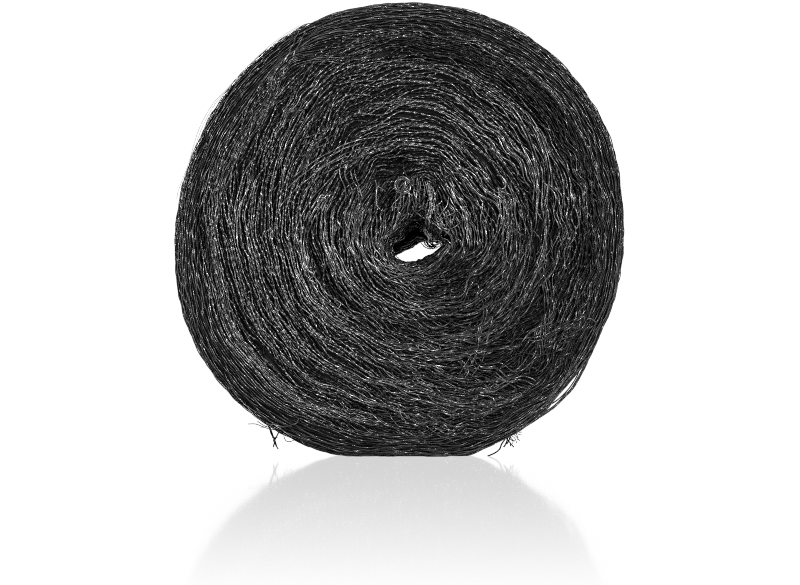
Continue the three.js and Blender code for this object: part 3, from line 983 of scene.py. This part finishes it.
def core_groups(skin, rng):
    """The strands of the crumpled core laid along listed routes: groups of routes, and how they lie."""
    groups = [(list(fan(guides, count, rng, spread)), *lie) for guides, count, spread, *lie in CORE_FANS]
    groups += [(CROWN, *CROWN_LIE), (list(curl_routes(rng)), *CROWN_LIE), (RIGHT_TANGLE, *RIGHT_LIE)]
    for oval, (count, *lie) in zip(TANGLES, TANGLE_LIES):
        groups.append((tangle_routes(skin, rng, oval, count), *lie))
    return groups + [(HOLE_STRANDS, *HOLE_LIE)]


def drape(name, skin, rng, groups, rings):
    """Strands laid along given routes over the photograph's pixels, on the face or at their own depth."""
    lines, widths, tones_and_painted_light, kinks = [], [], [], []
    for routes, width, tone_and_painted_light, lift, *depth in groups:
        for route in routes:
            x, z = photo_place(*curve_through(route, rings).T)
            y = np.full(rings, depth[0] * MM) if depth else front_depth(skin, x, z)
            lines.append(np.stack([x, y - rng.uniform(*np.multiply(lift, MM)), z], 1))
            widths.append(width * MM * rng.uniform(*WIDTH_SPREAD))
            tones_and_painted_light.append(rng.uniform(*tone_and_painted_light))
            kinks.append(0 if depth else DRAPE_KINK)
    lines = np.array(lines)
    count = len(lines)
    widths, tones_and_painted_light, kinks = (np.tile(values, (rings, 1)).T for values in (widths, tones_and_painted_light, kinks))
    ups = np.broadcast_to([0.0, -1.0, 0.0], lines.shape)
    lengths = np.linalg.norm(np.diff(lines, axis=1), axis=2).sum(1)
    run = lengths[:, None] * np.linspace(0, 1, rings)
    side = unit(np.cross(unit(np.gradient(lines, axis=1)), ups))
    kinks = kinks * widths * own_waves(rng, run, count, KINK_LENGTH, KINK_STARTS)
    lines = lines + side * kinks[..., None]
    twists = run / (CALM_PLY_LENGTH * rng.uniform(*PLY_SPREAD, count)[:, None]) + rng.random(count)[:, None]
    return tubes(name, lines, ups, widths, twists, tones_and_painted_light, np.ones(count, bool))


def fill(tree, node, inputs):
    """Sets a node's inputs: a plain value, or a link where another node's output is given."""
    for key, value in inputs.items():
        if isinstance(value, bpy.types.NodeSocket):
            tree.links.new(value, node.inputs[key])
        else:
            node.inputs[key].default_value = value


def add_node(tree, kind, inputs=None, **settings):
    """A shader node of a kind, with its inputs and settings."""
    node = tree.nodes.new("ShaderNode" + kind)
    for key, value in settings.items():
        setattr(node, key, value)
    fill(tree, node, inputs or {})
    return node


def product(tree, a, b):
    return add_node(tree, "Math", {0: a, 1: b}, operation="MULTIPLY").outputs["Value"]


def carried(tree, value, start, end, **settings):
    """A value carried over from one range to another."""
    ends = dict(zip(("From Min", "From Max", "To Min", "To Max"), (*start, *end)))
    return add_node(tree, "MapRange", {"Value": value, **ends}, **settings).outputs["Result"]


def two_colours(tree, value, *ends):
    """A colour between two, each given with the value where it is reached."""
    ramp = add_node(tree, "ValToRGB", {"Fac": value})
    for element, (place, colour) in zip(ramp.color_ramp.elements, ends):
        element.position = place
        element.color = colour
    return ramp.outputs["Color"]


def new_material(name):
    material = bpy.data.materials.new(name)
    material.use_nodes = True
    return material, material.node_tree, material.node_tree.nodes["Principled BSDF"]


def strand_material(name, gloss, flecks):
    """Black twisted polymer yarn, toned for each strand with painted light and shade. Plies and fibres break
    its gloss into flecks, and paint shade in the grooves and glints into its colour.
    """
    material, tree, shader = new_material(name)
    yarn = add_node(tree, "UVMap", uv_map=YARN_MAP).outputs["UV"]
    wave = add_node(tree, "TexWave", {"Scale": PLY_WAVE, "Vector": yarn}, bands_direction="DIAGONAL")
    ply = wave.outputs["Fac"]
    place = add_node(tree, "TexCoord").outputs["Object"]
    fibre = add_node(tree, "TexNoise", {"Scale": 1 / FIBRE_SIZE, "Detail": 1, "Vector": place}).outputs["Fac"]
    glint = carried(tree, fibre, FIBRE_GLINT, (FIBRE_CALM * (1 - flecks), 1))
    fleck = product(tree, ply, glint)
    tone_and_painted_light = add_node(tree, "Attribute", attribute_name="tone_and_painted_light").outputs["Fac"]
    grain = add_node(tree, "Bump", {
        "Strength": FIBRE_BUMP * flecks, "Distance": FIBRE_HEIGHT, "Height": fibre})
    bump = add_node(tree, "Bump", {
        "Strength": PLY_BUMP + PLY_FLECK_BUMP * flecks, "Distance": PLY_HEIGHT, "Height": ply,
        "Normal": grain.outputs["Normal"]})
    # Base colour: tone and painted light, times painted shade in the ply grooves and painted glints from the
    # fibres
    fill(tree, shader, {
        "Base Color": two_colours(tree, product(tree, tone_and_painted_light, fleck), YARN_DARK, YARN_LIGHT),
        "Roughness": carried(tree, fleck, (0, 1), YARN_ROUGHNESS),
        "Specular IOR Level": gloss, "Normal": bump.outputs["Normal"]})
    return material


def body_material():
    """Painted shade for the depth between strands: near black, with dim fibres along the turns."""
    material, tree, shader = new_material("net_depth_painted_shade")
    place = add_node(tree, "UVMap", uv_map=YARN_MAP).outputs["UV"]
    fibre = add_node(tree, "TexNoise", {
        "Scale": 1, "Detail": BODY_DETAIL, "Roughness": BODY_DETAIL_SHARE, "Vector": place}).outputs["Fac"]
    bump = add_node(tree, "Bump", {"Strength": BODY_BUMP, "Distance": BODY_BUMP_HEIGHT, "Height": fibre})
    fill(tree, shader, {
        "Base Color": two_colours(tree, fibre, BODY_DARK, BODY_LIGHT), "Roughness": BODY_ROUGHNESS,
        "Specular IOR Level": BODY_GLOSS, "Normal": bump.outputs["Normal"]})
    return material


def add_piece(piece, materials):
    for material in materials:
        piece.data.materials.append(material)
    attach(piece, "root")


def add_camera():
    data = bpy.data.cameras.new("camera")
    data.sensor_width = SENSOR
    data.lens = SENSOR * CAMERA_DISTANCE / (IMAGE_WIDTH * PIXEL)
    camera = add_object("camera", data)
    camera.location = (CAMERA_SIDE, -CAMERA_DISTANCE, CAMERA_HEIGHT)
    camera.rotation_euler = (math.pi / 2, 0, 0)
    scene = bpy.context.scene
    scene.camera = camera
    scene.view_settings.view_transform = "Standard"
    scene.cycles.use_denoising = False
    scene.cycles.filter_width = PIXEL_FILTER


def add_lamp(name, place, size, power):
    data = bpy.data.lights.new(name, "AREA")
    data.shape = "RECTANGLE"
    data.size, data.size_y = size
    data.energy = power
    lamp = add_object(name, data)
    lamp.location = place
    lamp.rotation_euler = (Vector(LAMP_AIM) - Vector(place)).to_track_quat("-Z", "Y").to_euler()


def add_world():
    """White to the camera, and for light a white backdrop behind the roll with a dim room in front."""
    world = bpy.data.worlds.new("studio")
    bpy.context.scene.world = world
    world.use_nodes = True
    tree = world.node_tree
    place = add_node(tree, "TexCoord").outputs["Generated"]
    split = add_node(tree, "SeparateXYZ", {"Vector": place})
    light = carried(tree, split.outputs["Y"], BACKDROP_EDGE, (ROOM_LIGHT, 1), interpolation_type="SMOOTHSTEP")
    lit = tree.nodes["Background"]
    fill(tree, lit, {"Color": WHITE, "Strength": light})
    seen = add_node(tree, "Background", {"Color": WHITE})
    path = add_node(tree, "LightPath")
    mix = add_node(tree, "MixShader", {
        "Fac": path.outputs["Is Camera Ray"], 1: lit.outputs["Background"], 2: seen.outputs["Background"]})
    fill(tree, tree.nodes["World Output"], {"Surface": mix.outputs["Shader"]})


def add_floor():
    """A white floor with a mirror image that fades towards the camera."""
    far = FLOOR_REACH
    points = np.array([[-far, -far, 0], [far, -far, 0], [far, far, 0], [-far, far, 0]])
    floor = mesh_from("floor", points, np.array([[0, 1, 2, 3]]))
    material, tree, shader = new_material("floor_white")
    tree.nodes.remove(shader)
    white = add_node(tree, "Emission", {"Color": WHITE})
    mirror = add_node(tree, "BsdfGlossy", {"Color": WHITE, "Roughness": MIRROR_ROUGHNESS})
    place = add_node(tree, "TexCoord").outputs["Object"]
    split = add_node(tree, "SeparateXYZ", {"Vector": place})
    away = product(tree, split.outputs["Y"], split.outputs["Y"])
    fade = carried(tree, away, (0, MIRROR_FADE ** 2), (MIRROR_SHARE, 0))
    mix = add_node(tree, "MixShader", {"Fac": fade, 1: white.outputs["Emission"], 2: mirror.outputs["BSDF"]})
    fill(tree, tree.nodes["Material Output"], {"Surface": mix.outputs["Shader"]})
    floor.data.materials.append(material)


add_camera()
for lamp in LAMPS:
    add_lamp(*lamp)
add_world()
add_floor()

rng = np.random.default_rng(SEED)
skin = Skin(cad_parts[NODE])
add_flow(skin)
add_bundles(skin, rng)
add_pockets(skin)
add_dent(skin)
add_crease_lines(skin)
add_sheen(skin)

# Lit and shaded copies of each yarn: gloss levels that the strands' tone and painted light pick
yarns = [strand_material(f"net_yarn_{kind}_{level + 1}", gloss, flecks)
         for kind, flecks in YARN_FLECKS for level, gloss in enumerate(YARN_GLOSS)]
body = roll_body(skin)
add_piece(body, [body_material()])
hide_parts(NODE)

add_piece(lay_lanes("front_deep", skin, rng, DEEP), yarns)
add_piece(lay_lanes("front_under", skin, rng, UNDER), yarns)
add_piece(lay_lanes("front_over", skin, rng, OVER), yarns)
add_piece(lay_locks("front_cross", skin, rng, CROSS), yarns)
add_piece(lay_lanes("shoulder_strands", skin, rng, SHOULDER), yarns)
add_piece(lay_lanes("rim_strands", skin, rng, RIM), yarns)
add_piece(lay_lanes("back_strands", skin, rng, BACK), yarns)
add_piece(drape("core_strands", skin, rng, core_groups(skin, rng), CORE_RINGS), yarns)
add_piece(drape("loose_strands", skin, rng, LOOSE_ENDS, LOOSE_RINGS), yarns)
